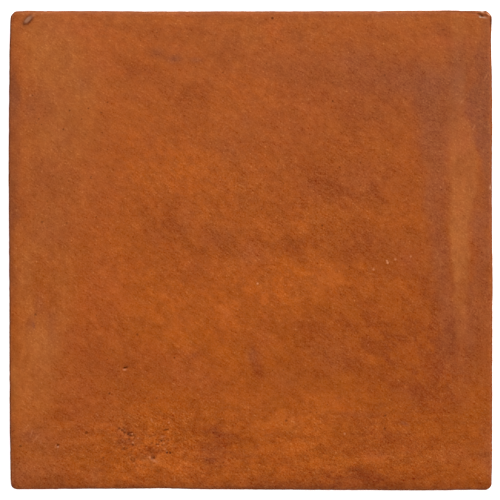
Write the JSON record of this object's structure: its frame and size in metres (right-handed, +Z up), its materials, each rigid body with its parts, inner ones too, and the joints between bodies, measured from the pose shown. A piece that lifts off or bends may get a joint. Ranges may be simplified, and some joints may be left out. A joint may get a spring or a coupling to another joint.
{
  "type": "terracotta floor tile",
  "caption": "Square hand-moulded terracotta floor tile with softly rounded corners and edges, a sealed mottled wearing face and a flat underside for bedding in mortar.",
  "frame": {"origin": "middle of the tile's underside, on the floor or mortar bed", "axes": "+X to the right-hand side of the tile, +Y to its back side, +Z up through the wearing face"},
  "size_m": [0.2999, 0.2974, 0.02],
  "materials": {
    "sealed_terracotta": "fired orange-brown clay, mottled, sealed to a satin sheen on the wearing face"
  },
  "bodies": {
    "root": {"terracotta_tile": "sealed_terracotta"}
  },
  "joints": []
}
